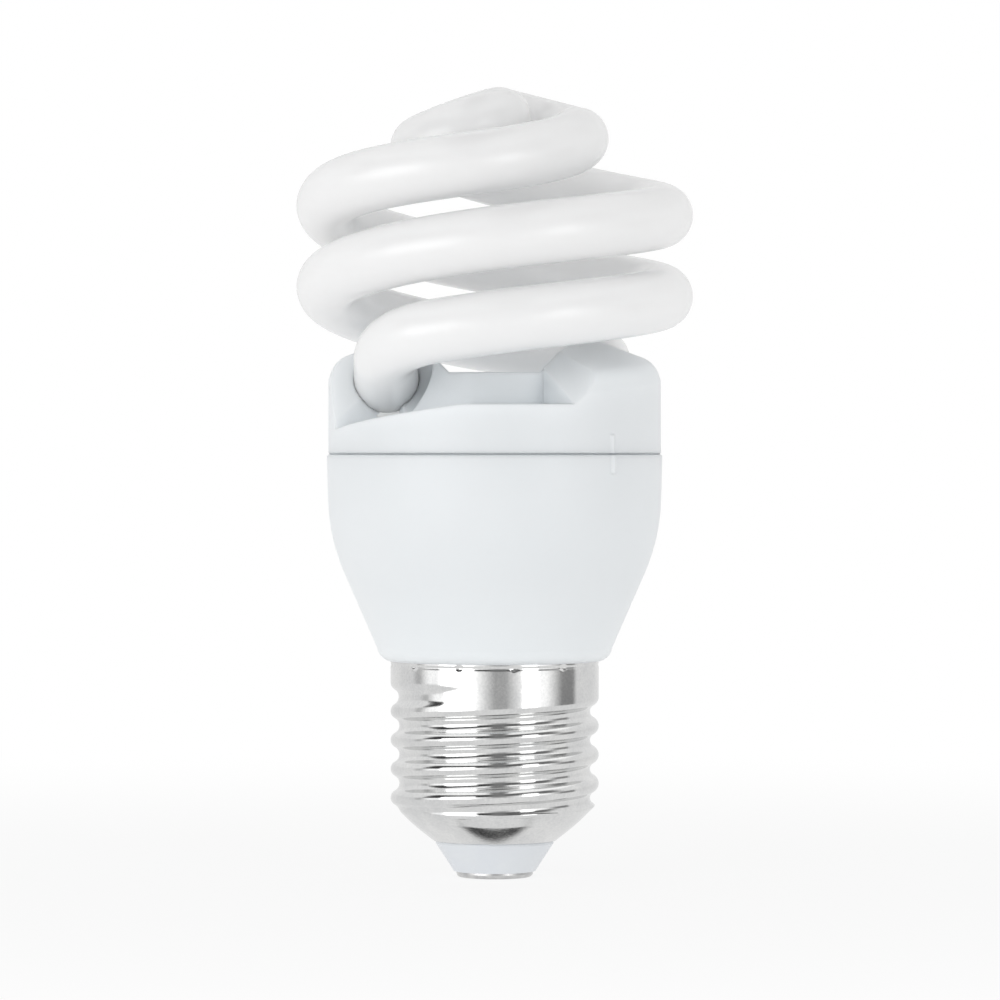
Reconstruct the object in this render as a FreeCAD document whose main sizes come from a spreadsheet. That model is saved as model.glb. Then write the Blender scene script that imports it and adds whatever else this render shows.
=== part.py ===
import FreeCAD, Part
import Sketcher
import math
import os
import re

from FreeCAD import Placement, Rotation, Vector

# Compact spiral fluorescent lamp with an E27 screw cap, standing cap down.
# The origin is the middle of the contact's flat face and +Z is the lamp's axis. Millimetres.

SIZES = [
    # Centre contact and cap insulator
    ("contact_r", "4.8", "radius of the contact disc"),
    ("contact_thick", "0.75", "thickness of the contact disc"),
    ("contact_edge", "0.5", "rounding of the contact's lower edge"),
    ("stem_r", "1.6", "radius of the hollow stem through the insulator"),
    ("stem_top", "8.6", "height of the stem's top"),
    ("stem_bore", "0.8", "radius of the bore that takes the live wire"),
    ("insulator_foot_r", "5.15", "radius of the insulator at the contact"),
    ("insulator_rim_r", "7.42", "radius of the insulator where the shell ends"),
    ("insulator_top", "7.4", "height of the insulator's inner face"),
    # Screw shell
    ("shell_wall", "0.35", "sheet thickness of the shell"),
    ("cone_wall", "0.455", "wall of the shell's cone, measured level"),
    ("shell_lip_z", "4.6", "height of the shell's lower lip"),
    ("shell_lip_r", "7.74", "radius of the lower lip"),
    ("shell_knee_z", "7.0", "height where the bottom cone steepens"),
    ("shell_knee_r", "10.69", "radius at that height"),
    ("thread_crest_r", "13.1", "crest radius of the thread"),
    ("thread_depth", "1.1", "depth of the thread"),
    ("thread_pitch", "3.629", "pitch of the thread"),
    ("crest_flat", "0.72", "width of the thread's crest"),
    ("thread_phase", "4.5", "height of the thread's first crest on the +X side"),
    ("thread_bite", "0.15", "depth to which a ridge reaches into its core"),
    ("root_flat", "0.5", "width of the plain root between two turns"),
    ("flank_break", "0.05", "drop of the crest's edges and rise of the root's"),
    ("band_z", "23.4", "height where the plain band starts"),
    ("band_proud", "0.02", "radius of the plain band above the thread's crest"),
    ("shell_top", "27.2", "height of the shell's top rim"),
    ("dimple_r", "0.6", "radius of a staking dimple"),
    ("dimple_depth", "0.2", "depth of a staking dimple"),
    ("dimple_drop", "0.75", "distance of the dimples below the rim"),
    ("dimple_count", "12", "number of staking dimples"),
    ("dimple_turn", "10.5", "angle of the first dimple from the front"),
    # Ballast housing
    ("housing_wall", "1.45", "wall of the housing"),
    ("neck_clear", "0.05", "clearance of the neck in the shell's band"),
    ("neck_wall", "1.4", "wall of the neck"),
    ("neck_low", "23.9", "height of the neck's lower end"),
    ("shoulder_lip", "0.23", "reach of the shoulder's flat past the shell's band"),
    ("shoulder_round", "1.9", "rounding between the flat and the cone"),
    ("cone_low_z", "28.8", "height of the cone's lower end"),
    ("shoulder_flare", "1.43", "reach of the cone's lower end past the flat"),
    ("cone_top_z", "38.3", "height of the cone's upper end"),
    ("cone_top_r", "18.93", "radius of the cone's upper end"),
    ("belly_round", "25", "radius of the curve above the cone"),
    ("belly_z", "47.4", "height where the curve ends"),
    ("rim_flare", "0.16", "growth of the housing from the curve's end to its rim"),
    ("rim_z", "53.1", "height of the housing's rim"),
    ("rim_r", "21.1", "radius of the housing's rim"),
    ("rim_chamfer", "0.2", "chamfers that make the parting groove"),
    ("rib_count", "6", "number of ribs under the circuit board"),
    ("rib_width", "1.2", "width of a rib"),
    ("rib_depth", "2.2", "reach of a rib from the wall"),
    ("rib_low", "42", "height of a rib's lower end"),
    # Circuit board and what it carries
    ("board_thick", "1.6", "thickness of the circuit board"),
    ("board_clear", "0.3", "clearance of the board in the housing"),
    ("can_r", "5", "radius of the smoothing capacitor"),
    ("can_length", "16", "length of the smoothing capacitor"),
    ("can_edge", "0.6", "rounding of the capacitor's edges and groove"),
    ("can_groove", "2.6", "distance of the rolled groove from the board"),
    ("can_x", "0", "place of the smoothing capacitor along X"),
    ("can_y", "-6.1", "place of the smoothing capacitor along Y"),
    ("core_width", "13", "width of the choke's core"),
    ("core_depth", "6", "depth of the choke's core"),
    ("core_height", "11", "height of the choke's core"),
    ("core_leg", "3.6", "width of the core's middle leg"),
    ("core_side", "1.8", "thickness of the core's outer legs and yokes"),
    ("choke_gap", "0.3", "gap between the core and the board"),
    ("bobbin_clear", "0.1", "clearance of the bobbin in the core's windows"),
    ("flange", "0.5", "wall of the choke's bobbin"),
    ("choke_x", "0", "place of the choke along X"),
    ("choke_y", "6.6", "place of the choke along Y"),
    ("ring_outer", "4.2", "outer radius of the drive transformer's ring"),
    ("ring_inner", "2.3", "inner radius of that ring"),
    ("ring_height", "4", "height of that ring"),
    ("drive_coil", "0.4", "thickness of its windings"),
    ("drive_span", "55", "angle that one of its windings covers"),
    ("drive_x", "-11.4", "place of the drive transformer along X"),
    ("drive_y", "4.6", "place of the drive transformer along Y"),
    ("drum_r", "2.9", "radius of the filter inductor"),
    ("drum_length", "8", "length of the filter inductor"),
    ("drum_edge", "0.4", "rounding of the inductor's edges"),
    ("drum_x", "7.9", "place of the filter inductor along X"),
    ("drum_y", "-8.4", "place of the filter inductor along Y"),
    ("film_edge", "0.6", "rounding of the film capacitors' edges"),
    ("resonant_length", "9.6", "length of the resonant capacitor"),
    ("resonant_width", "4.6", "width of the resonant capacitor"),
    ("resonant_height", "9", "height of the resonant capacitor"),
    ("resonant_x", "9.7", "place of the resonant capacitor along X"),
    ("resonant_y", "4.2", "place of the resonant capacitor along Y"),
    ("blocking_length", "7.2", "length of the blocking capacitor"),
    ("blocking_width", "3.8", "width of the blocking capacitor"),
    ("blocking_height", "7", "height of the blocking capacitor"),
    ("blocking_x", "0.4", "place of the blocking capacitor along X"),
    ("blocking_y", "-14.4", "place of the blocking capacitor along Y"),
    ("case_r", "2.3", "radius of a transistor's case"),
    ("case_flat", "1.3", "distance of its flat from the middle"),
    ("case_height", "4.6", "height of a transistor's case"),
    ("case_drop", "3", "length of a transistor's legs"),
    ("case_x", "10.8", "distance of the transistors along X"),
    ("case_y", "-3.6", "place of the transistors along Y"),
    ("leg_pitch", "1.27", "pitch of a transistor's legs"),
    ("lead_r", "0.25", "radius of the components' leads"),
    ("lead_out", "1", "reach of an axial lead before its bend"),
    ("part_clear", "0.3", "clearance of the components inside the ribs and from each other"),
    ("diode_r", "1.25", "radius of a rectifier diode"),
    ("diode_length", "4.8", "length of a rectifier diode"),
    ("resistor_r", "1.15", "radius of a resistor"),
    ("resistor_length", "5.6", "length of a resistor"),
    ("trigger_r", "0.9", "radius of the trigger diode"),
    ("trigger_length", "3.4", "length of the trigger diode"),
    ("fuse_r", "1.4", "radius of the fuse resistor"),
    ("fuse_length", "6.4", "length of the fuse resistor"),
    ("pin_clear", "0.25", "clearance of the wire pins inside the spigot"),
    ("pin_width", "0.8", "width of a wire pin"),
    ("pin_height", "3.6", "height of a wire pin"),
    ("lead_spread", "1.4", "distance of the tube's leads from its axis"),
    ("wire_r", "0.55", "radius of the two supply wires"),
    ("wire_bend", "36", "height where the supply wires bend inwards"),
    ("live_x", "6.9", "distance of the supply wires along X"),
    ("live_y", "-2.3", "place of the supply wires along Y"),
    ("live_run", "2", "straight run of the live wire above the contact's stem"),
    ("neutral_weld", "2", "length of the neutral wire's run along the shell"),
    ("neutral_low", "16", "height of the neutral wire's end on the shell"),
    # Tube cover
    ("cover_gap", "0.2", "parting gap between housing and cover"),
    ("spare", "1", "length by which a cutting tool overshoots"),
    ("blank_rise", "10", "height of the cover's blank above its recess"),
    ("cover_inset", "0.2", "inset of the cover's side from the housing's rim"),
    ("cover_wall", "1.3", "wall of the cover"),
    ("spigot_depth", "2.5", "length of the spigot inside the housing"),
    ("spigot_clear", "0.1", "clearance of the spigot in the housing"),
    ("spigot_wall", "1.2", "wall of the spigot"),
    ("ledge_low", "56.24", "height of the ledge under a leg where it starts"),
    ("ledge_start", "-161.6", "angle where the ledge starts"),
    ("ledge_lead", "18.2", "rise of the ledge in a full turn"),
    ("riser_low", "62.3", "height of a riser's edge at its lower end"),
    ("riser_start", "-64", "angle of a riser's lower end"),
    ("riser_sweep", "88", "angle that a riser covers"),
    ("riser_lead", "10.5", "rise of a riser's edge in a full turn"),
    ("riser_round", "3", "rounding of a riser's outer edge"),
    ("riser_edge", "2.2", "width of that rounding"),
    ("riser_rise", "1", "height of the rounding's inner end above the edge"),
    ("riser_fall", "0.9", "depth of the rounding's outer end below the edge"),
    ("riser_draft", "0.3", "inset of the rounding's outer end from the cover's side"),
    ("riser_slope", "20.3", "slope of a riser towards the axis"),
    ("riser_inner_r", "5", "radius where a riser ends inside"),
    ("recess_z", "63.3", "height of the flat between the two risers"),
    ("recess_r", "12.8", "radius of that flat"),
    ("recess_half", "5.6", "half width of that flat between the risers"),
    ("pocket_z", "59.3", "floor of the pocket under the tube"),
    ("pocket_start", "-150", "angle where the pocket starts"),
    ("pocket_end", "-62", "angle where the pocket ends"),
    ("ramp_face", "-118", "angle that a riser's lower end faces"),
    ("ramp_slope", "45", "slope of a riser's lower end"),
    ("ramp_sweep", "40", "angle that a riser's lower end may cover"),
    ("slot_r", "5.9", "radius of the slot round a leg"),
    ("bead_angle", "-46.2", "angle of the alignment bead"),
    ("bead_r", "0.45", "radius of the alignment bead"),
    ("bead_reach", "2.3", "length of the bead on each side of the parting line"),
    # Spiral tube
    ("tube_r", "3.92", "outer radius of the glass tube"),
    ("helix_r", "21", "radius of the helix's centre line"),
    ("helix_lead", "20.4", "rise of one arm in a full turn"),
    ("helix_front", "68.4", "height of the centre line in front"),
    ("leave_angle", "-110", "angle where an arm leaves the helix for its leg"),
    ("crown_start", "200", "angle where an arm starts to close in"),
    ("crown_r", "9.8", "radius of the S at the crown"),
    ("crown_power", "0.75", "fullness of the S, 1 for two half circles"),
    ("crown_top", "95.35", "height of the centre line at the crown"),
    ("crown_rise", "3.05", "rise of the centre line from the start of the S to the crown"),
    ("crown_shift", "0.6", "sideways offset of the crown"),
    ("lean_x", "-0.022", "lean of the turns along X"),
    ("lean_y", "-0.039", "lean of the turns along Y"),
    ("crown_lean_x", "0.053", "lean of the crown along X"),
    ("crown_lean_y", "0.045", "lean of the crown along Y"),
    ("leg_x", "13.5", "distance of a leg from the axis"),
    ("leg_slope", "20", "slope of a leg"),
    ("leg_z", "62.6", "height of a leg where it enters its riser"),
    ("riser_y", "4.6", "distance of a riser from the axis"),
    ("leg_inside", "11", "length of a leg behind its riser"),
    ("leg_clear", "0.2", "clearance of a leg in its hole"),
    ("cement_r", "4.7", "radius of a cement ring"),
    ("cement_length", "2.4", "length of a cement ring"),
]

doc = FreeCAD.newDocument("SpiralLamp")
sheet = doc.addObject("Spreadsheet::Sheet", "Sizes")
for row, (alias, value, meaning) in enumerate(SIZES, 1):
    sheet.set("A%d" % row, value)
    sheet.setAlias("A%d" % row, alias)
    sheet.set("B%d" % row, meaning)
doc.recompute()
ALIASES = {alias for alias, value, meaning in SIZES}
FITS = {
    "band_r": "(thread_crest_r + band_proud)",
    "shoulder_r": "(band_r + shoulder_lip)",
    "cone_low_r": "(shoulder_r + shoulder_flare)",
    "belly_r": "(rim_r - rim_flare)",
    "cover_r": "(rim_r - cover_inset)",
    "ring_r": "(belly_r - housing_wall - rib_depth - part_clear)",
    "crown_low": "(crown_top - crown_rise)",
}
NODES = []


def tie(text):
    """Turns names in an expression into references to the sheet, and fits into the sizes that they follow."""
    def found(match):
        name = match[0]
        if name in FITS:
            return tie(FITS[name])
        return "Sizes." + name if name in ALIASES else name
    return re.sub("[a-z_]+", found, text)


def number(text):
    return float(sheet.evalExpression(tie(text)))


def bind(item, **sizes):
    for name, text in sizes.items():
        path = {"x": "Placement.Base.x", "y": "Placement.Base.y", "z": "Placement.Base.z"}.get(name, name)
        item.setExpression(path, tie(text))
    return item


def node(item, label):
    item.Label = label
    NODES.append(item)
    return item


def outline(sketch, points):
    """Draws a closed outline: (x, y) starts a line, (x, y, radius) an arc, turning left if positive."""
    places = [Vector(number(point[0]), number(point[1]), 0) for point in points]
    ends = []
    for index, start in enumerate(places):
        stop = places[(index + 1) % len(places)]
        if len(points[index]) == 2:
            sketch.addGeometry(Part.LineSegment(start, stop), False)
            ends.append((1, 2))
            continue
        radius = number(points[index][2])
        chord = stop - start
        side = Vector(-chord.y, chord.x, 0).normalize() * math.copysign(1, radius)
        centre = (start + stop) * 0.5 + side * math.sqrt(radius ** 2 - chord.Length ** 2 / 4)
        first, last = (start, stop) if radius > 0 else (stop, start)
        angles = [math.atan2(spot.y - centre.y, spot.x - centre.x) for spot in (first, last)]
        circle = Part.Circle(centre, Vector(0, 0, 1), abs(radius))
        sketch.addGeometry(Part.ArcOfCircle(circle, angles[0], angles[1]), False)
        ends.append((1, 2) if radius > 0 else (2, 1))
    for index, point in enumerate(points):
        after = (index + 1) % len(points)
        sketch.addConstraint(Sketcher.Constraint("Coincident", index, ends[index][1], after, ends[after][0]))
        for kind, text in zip(("DistanceX", "DistanceY"), point):
            rule = Sketcher.Constraint(kind, -1, 1, index, ends[index][0], number(text))
            sketch.setExpression("Constraints[%d]" % sketch.addConstraint(rule), tie(text))
        if len(point) == 3:
            rule = Sketcher.Constraint("Radius", index, abs(number(point[2])))
            sketch.setExpression("Constraints[%d]" % sketch.addConstraint(rule), tie("abs(%s)" % point[2]))
    return sketch


def body_sketch(name, plane, points):
    body = doc.addObject("PartDesign::Body", name)
    sketch = body.newObject("Sketcher::SketchObject", name + "_sketch")
    support = [item for item in body.Origin.OriginFeatures if item.Role == plane][0]
    sketch.AttachmentSupport = (support, [""])
    sketch.MapMode = "FlatFace"
    return body, outline(sketch, points)


def turned(name, points):
    """A body of revolution round Z from an outline of (radius, height) points."""
    body, sketch = body_sketch(name, "XZ_Plane", points)
    feature = body.newObject("PartDesign::Revolution", name + "_turn")
    feature.Profile = sketch
    feature.ReferenceAxis = (sketch, ["V_Axis"])
    feature.Angle = 360
    doc.recompute()
    return body


def padded(name, points, length):
    body, sketch = body_sketch(name, "XY_Plane", points)
    feature = body.newObject("PartDesign::Pad", name + "_pad")
    feature.Profile = sketch
    bind(feature, Length=length)
    doc.recompute()
    return body


def box(name, length, width, height, **place):
    return bind(doc.addObject("Part::Box", name), Length=length, Width=width, Height=height, **place)


def cylinder(name, radius, height, **place):
    return bind(doc.addObject("Part::Cylinder", name), Radius=radius, Height=height, **place)


def cut(name, base, tool):
    result = doc.addObject("Part::Cut", name)
    result.Base = base
    result.Tool = tool
    doc.recompute()
    return result


def joined(kind, name, shapes):
    result = doc.addObject(kind, name)
    if kind == "Part::Compound":
        result.Links = shapes
    else:
        result.Shapes = shapes
    doc.recompute()
    return result


def helical(name, points, angle, sweep, lead, radius, low):
    """A solid swept along a helix from an outline of (radius, height above the helix) points."""
    spin = Rotation(Vector(0, 0, 1), number(angle))
    path = bind(doc.addObject("Part::Helix", name + "_path"), Pitch=lead, Radius=radius,
                Height="(%s) * (%s) / 360" % (lead, sweep))
    path.Placement = Placement(Vector(0, 0, number(low)), spin)
    sketch = outline(doc.addObject("Sketcher::SketchObject", name + "_sketch"), points)
    sketch.Placement = Placement(Vector(0, 0, number(low)), spin * Rotation(Vector(1, 0, 0), 90))
    doc.recompute()
    solid = doc.addObject("Part::Sweep", name)
    solid.Sections = [sketch]
    solid.Spine = (path, ["Edge%d" % (index + 1) for index in range(len(path.Shape.Edges))])
    solid.Solid = True
    solid.Frenet = True
    doc.recompute()
    return solid


def leg_frame(turn, along):
    """A leg's own frame at its riser, with local Z running out along the leg."""
    place = Vector(-number("leg_x"), -number("riser_y"), number("leg_z"))
    frame = Placement(place, Rotation(Vector(1, 0, 0), 90 - number("leg_slope")))
    spin = Placement(Vector(), Rotation(Vector(0, 0, 1), turn))
    return spin * frame * Placement(Vector(0, 0, along), Rotation())


TURNS = (0, 180)


# Centre contact: a stamped disc with a hollow stem that takes the live wire.
node(turned("contact", [
    ("0", "0"),
    ("contact_r - contact_edge", "0", "contact_edge"),
    ("contact_r", "contact_edge"),
    ("contact_r", "contact_thick"),
    ("stem_r", "contact_thick"),
    ("stem_r", "stem_top"),
    ("stem_bore", "stem_top"),
    ("stem_bore", "contact_thick"),
    ("0", "contact_thick"),
]), "centre_contact")

# Cap insulator: a cone seated on the contact, gripped by the shell's lower lip.
node(turned("insulator", [
    ("stem_r", "contact_thick"),
    ("insulator_foot_r", "contact_thick"),
    ("insulator_rim_r", "shell_lip_z - shell_wall"),
    ("shell_lip_r - shell_wall", "shell_lip_z"),
    ("shell_knee_r - cone_wall", "shell_knee_z"),
    ("shell_knee_r - cone_wall", "insulator_top"),
    ("stem_r", "insulator_top"),
]), "cap_insulator")

# Screw shell: rolled sheet with a right-hand thread, a plain band above and a cone with a lip below.
ROOT = "(thread_crest_r - thread_depth)"
THREAD_SWEEP = "360 * (band_z + thread_pitch / 2 - thread_phase) / thread_pitch"
ridge = helical("thread_ridge", [
    (ROOT + " - thread_bite", "-(thread_pitch - root_flat) / 2"),
    (ROOT + " + flank_break", "-(thread_pitch - root_flat) / 2"),
    ("thread_crest_r - thread_depth / 2", "-thread_pitch / 4"),
    ("thread_crest_r - flank_break", "-crest_flat / 2"),
    ("thread_crest_r - flank_break", "crest_flat / 2"),
    ("thread_crest_r - thread_depth / 2", "thread_pitch / 4"),
    (ROOT + " + flank_break", "(thread_pitch - root_flat) / 2"),
    (ROOT + " - thread_bite", "(thread_pitch - root_flat) / 2"),
], "0", THREAD_SWEEP, "thread_pitch", ROOT, "thread_phase")
core = cylinder("thread_core", ROOT, "shell_top + 2 * thread_pitch", z="-thread_pitch")
envelope = turned("thread_envelope", [
    ("0", "shell_lip_z"),
    ("shell_lip_r", "shell_lip_z"),
    ("shell_knee_r", "shell_knee_z"),
    ("thread_crest_r + thread_depth / 2", "shell_knee_z + thread_crest_r + thread_depth / 2 - shell_knee_r"),
    ("thread_crest_r + thread_depth / 2", "band_z"),
    ("0", "band_z"),
])
thread = joined("Part::MultiFuse", "thread", [core, ridge])
threaded = joined("Part::MultiCommon", "thread_trimmed", [thread, envelope])
band = cylinder("shell_band", "band_r", "shell_top - band_z", z="band_z")
shell_space = turned("shell_space", [
    ("0", "shell_lip_z - shell_wall"),
    ("shell_lip_r - shell_wall", "shell_lip_z - shell_wall"),
    ("shell_lip_r - shell_wall", "shell_lip_z"),
    ("shell_knee_r - cone_wall", "shell_knee_z"),
    (ROOT + " - shell_wall", "shell_knee_z + %s - shell_knee_r + cone_wall - shell_wall" % ROOT),
    (ROOT + " - shell_wall", "band_z + shell_wall"),
    ("band_r - shell_wall", "band_z + shell_wall"),
    ("band_r - shell_wall", "shell_top + shell_wall"),
    ("0", "shell_top + shell_wall"),
])
shell = cut("shell_hollow", joined("Part::MultiFuse", "shell_solid", [threaded, band]), shell_space)
dimples = []
for index in range(int(number("dimple_count"))):
    ball = bind(doc.addObject("Part::Sphere", "dimple"), z="shell_top - dimple_drop",
                Radius="(dimple_r ^ 2 + dimple_depth ^ 2) / (2 * dimple_depth)")
    reach = "(band_r - dimple_depth + (dimple_r ^ 2 + dimple_depth ^ 2) / (2 * dimple_depth))"
    turn = "(%d * 360 / dimple_count - 90 + dimple_turn)" % index
    dimples.append(bind(ball, x=reach + " * cos" + turn, y=reach + " * sin" + turn))
node(cut("shell_staked", shell, joined("Part::Compound", "dimples", dimples)), "screw_shell")

# Ballast housing: a thin-walled bowl whose neck fits the shell's band and whose ribs carry the board.
NECK = "(band_r - shell_wall - neck_clear)"
BOARD_Z = "(rim_z - spigot_depth - board_thick)"
bowl = turned("housing_bowl", [
    (NECK, "neck_low"),
    (NECK, "shell_top"),
    ("shoulder_r", "shell_top", "shoulder_round"),
    ("cone_low_r", "cone_low_z"),
    ("cone_top_r", "cone_top_z", "belly_round"),
    ("belly_r", "belly_z"),
    ("rim_r", "rim_z - rim_chamfer"),
    ("rim_r - rim_chamfer", "rim_z"),
    ("rim_r - housing_wall", "rim_z"),
    ("belly_r - housing_wall", "belly_z", "-(belly_round - housing_wall)"),
    ("cone_top_r - housing_wall", "cone_top_z"),
    ("cone_low_r - housing_wall", "cone_low_z + housing_wall"),
    (NECK + " - neck_wall", "shell_top + housing_wall"),
    (NECK + " - neck_wall", "neck_low"),
])
ribs = []
for index in range(int(number("rib_count"))):
    rib = box("rib", "rib_depth + housing_wall / 2", "rib_width", BOARD_Z + " - rib_low")
    turn = Rotation(Vector(0, 0, 1), (index + 0.5) * 360 / number("rib_count"))
    start = Vector(number("belly_r - housing_wall - rib_depth"), -number("rib_width") / 2, number("rib_low"))
    rib.Placement = Placement(turn.multVec(start), turn)
    ribs.append(rib)


def bead(name, low, length, radius):
    return cylinder(name, "bead_r", length, x=radius + " * cos(bead_angle)", y=radius + " * sin(bead_angle)",
                    z=low)


housing_bead = bead("housing_bead", "rim_z - bead_reach", "bead_reach", "(rim_r - bead_r / 2)")
node(joined("Part::MultiFuse", "housing", [bowl, housing_bead] + ribs), "ballast_housing")

# Tube cover: a cap with a two-start swirl, in whose risers the tube's legs end.
COVER_Z = "(rim_z + cover_gap)"


def slot(name, turn, grow):
    """The space round a leg outside its riser, open outwards and upwards."""
    reach = "(slot_r + %s)" % grow
    body = padded(name, [
        ("-cover_r", "-" + reach),
        ("0", "-" + reach, reach),
        (reach, "0"),
        (reach, "cover_r"),
        ("-cover_r", "cover_r"),
    ], "cover_r + " + grow)
    body.Placement = leg_frame(turn, -number(grow))
    return body


def sector(name, turn, grow, start, sweep):
    """A slice of the room above the pocket's floor."""
    disc = cylinder(name, "cover_r + 2 * spare", "cover_r", z="pocket_z - " + grow)
    bind(disc, Angle=sweep)
    disc.Placement.Rotation = Rotation(Vector(0, 0, 1), number(start) + turn)
    return disc


def pocket(name, turn, grow):
    """The flat-floored pocket in front of the recess, under the tube."""
    start = "(pocket_start - 3 * %s)" % grow
    stop = "(pocket_end + 3 * %s)" % grow
    hub = cylinder(name + "_hub", "recess_r - " + grow, "cover_r + 2 * spare", z="pocket_z - spare - " + grow)
    return cut(name, sector(name + "_disc", turn, grow, start, stop + " - " + start), hub)


def ramp(name, turn, grow):
    """What is cut away above the slope at a riser's lower end."""
    block = box(name + "_block", "4 * cover_r", "4 * cover_r", "2 * cover_r")
    side = number("2 * cover_r")
    corner = Placement(Vector(-side, -side, -number(grow)), Rotation())
    face = Rotation(Vector(0, 0, 1), number("ramp_face")) * Rotation(Vector(0, 1, 0), number("ramp_slope"))
    foot = Rotation(Vector(0, 0, 1), number("pocket_end")).multVec(Vector(number("cover_r"), 0, 0))
    spin = Placement(Vector(), Rotation(Vector(0, 0, 1), turn))
    block.Placement = spin * Placement(foot + Vector(0, 0, number("pocket_z")), face) * corner
    slice_above = sector(name + "_slice", turn, grow, "pocket_end - 3 * " + grow, "ramp_sweep + 6 * " + grow)
    return joined("Part::MultiCommon", name, [block, slice_above])


def ledge(name, turn, grow):
    """What is cut away above the ledge that climbs from a leg to the pocket."""
    start = "ledge_start - 3 * %s + %d" % (grow, turn)
    return helical(name, [
        ("recess_r - " + grow, "-" + grow),
        ("cover_r + 3 * spare", "-" + grow),
        ("cover_r + 3 * spare", "cover_r"),
        ("recess_r - " + grow, "cover_r"),
    ], start, "pocket_end - ledge_start + 3 * " + grow, "ledge_lead", "cover_r", "ledge_low")


def riser(name, turn, grow):
    """What is cut away above one riser."""
    start = "riser_start - 3 * %s + %d" % (grow, turn)
    outer = "(cover_r - riser_draft - %s)" % grow
    edge = "(cover_r - riser_edge - 0.5 * %s)" % grow
    drop = "- 1.15 * " + grow
    return helical(name, [
        (outer + " + 3 * riser_draft", "-4 * riser_fall " + drop),
        (outer, "-riser_fall " + drop, "riser_round"),
        (edge, "riser_rise " + drop),
        ("riser_inner_r", "riser_rise + (%s - riser_inner_r) * tan(riser_slope) %s" % (edge, drop)),
        ("riser_inner_r", "cover_r"),
        (outer + " + 3 * spare", "cover_r"),
        (outer + " + 3 * spare", "-4 * riser_fall " + drop),
    ], start, "riser_sweep + 3 * " + grow, "riser_lead", "cover_r", "riser_low")


def recess(name, grow):
    """The flat between the two risers, with walls that lean outwards."""
    half = "(recess_half + 1.4 * %s)" % grow
    rise = "(blank_rise + 2 * spare)"
    trough = padded(name + "_trough", [
        ("-" + half, "0"),
        (half, "0"),
        (half + " + " + rise, rise),
        ("-%s - %s" % (half, rise), rise),
    ], "2 * cover_r")
    back = Vector(0, number("cover_r"), number("recess_z - " + grow))
    trough.Placement = Placement(back, Rotation(Vector(1, 0, 0), 90))
    disc = cylinder(name + "_disc", "recess_r + " + grow, rise, z="recess_z - " + grow)
    return joined("Part::MultiCommon", name, [trough, disc])


def cover_form(name, grow):
    """The cover's outer form, or with a wall the space inside it."""
    form = cylinder(name + "_blank", "cover_r - " + grow, "recess_z + blank_rise - " + COVER_Z, z=COVER_Z)
    tools = [recess(name + "_recess", grow)]
    for turn in TURNS:
        for maker in (ledge, riser, pocket, ramp, slot):
            tools.append(maker("%s_%s_%d" % (name, maker.__name__, turn), turn, grow))
    for index, tool in enumerate(tools):
        form = cut("%s_stage_%d" % (name, index), form, tool)
    return form


cover = cut("cover_shell", cover_form("cover_outside", "0"), cover_form("cover_inside", "cover_wall"))
SPIGOT = "(rim_r - housing_wall - spigot_clear)"
spigot = turned("cover_spigot", [
    (SPIGOT + " - spigot_wall", "rim_z - spigot_depth"),
    (SPIGOT, "rim_z - spigot_depth"),
    (SPIGOT, COVER_Z),
    ("cover_r - cover_wall / 2", COVER_Z),
    ("cover_r - cover_wall / 2", COVER_Z + " + cover_wall"),
    (SPIGOT + " - spigot_wall", COVER_Z + " + cover_wall"),
])
cover_bead = bead("cover_bead", COVER_Z, "bead_reach", "(cover_r - bead_r / 2)")
cover = joined("Part::MultiFuse", "cover_with_spigot", [cover, spigot, cover_bead])
holes = []
for turn in TURNS:
    hole = cylinder("leg_hole", "tube_r + leg_clear", "leg_inside + 3 * cover_wall")
    hole.Placement = leg_frame(turn, -number("leg_inside"))
    holes.append(hole)
drilled = cut("cover_drilled", cover, joined("Part::Compound", "leg_holes", holes))
node(drilled, "tube_cover")


# Spiral tube: two arms of a helix that close in to an S at the crown and end in straight legs.
# An arm's angle grows from its leg to the edge of the crown and on to the crown's middle.
CROWN_EDGE = 360
CROWN_MIDDLE = 450
HELIX_STATIONS = 20
CROWN_STATIONS = 9
SMALL_ANGLE = 0.1


def ease(share):
    share = min(max(share, 0), 1)
    return share * share * (3 - 2 * share)


def hermite(share, start, start_slope, stop, stop_slope):
    a = (2 * share ** 3 - 3 * share ** 2 + 1) * start + (share ** 3 - 2 * share ** 2 + share) * start_slope
    return a + (3 * share ** 2 - 2 * share ** 3) * stop + (share ** 3 - share ** 2) * stop_slope


def arm_point(angle, turn):
    """The centre line of one arm at an angle that grows from its leg to the crown."""
    crown_start = number("crown_start")
    lead = number("helix_lead")
    close = ease((angle - crown_start) / (CROWN_EDGE - crown_start))
    radius = number("helix_r") + (number("crown_r") - number("helix_r")) * close
    height = number("helix_front") + lead * (angle + 90) / 360
    if angle > crown_start:
        start = number("helix_front") + lead * (crown_start + 90) / 360
        share = (angle - crown_start) / (CROWN_EDGE - crown_start)
        height = hermite(share, start, lead * (CROWN_EDGE - crown_start) / 360, number("crown_low"), 0)
    if angle > CROWN_EDGE:
        radius = number("crown_r") * abs(math.cos(math.radians(angle - CROWN_EDGE))) ** number("crown_power")
        share = (angle - CROWN_EDGE) / (CROWN_MIDDLE - CROWN_EDGE)
        height = hermite(share, number("crown_low"), 0, number("crown_top"), 0)
    x = radius * math.cos(math.radians(angle + turn))
    y = radius * math.sin(math.radians(angle + turn))
    lean_x = number("lean_x") + (number("crown_lean_x") - number("lean_x")) * close
    lean_y = number("lean_y") + (number("crown_lean_y") - number("lean_y")) * close
    return Vector(x + number("crown_shift") * close, y, height + lean_x * x + lean_y * y)


def arm_heading(angle, turn):
    return (arm_point(angle, turn) - arm_point(angle - SMALL_ANGLE, turn)).normalize()


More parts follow.
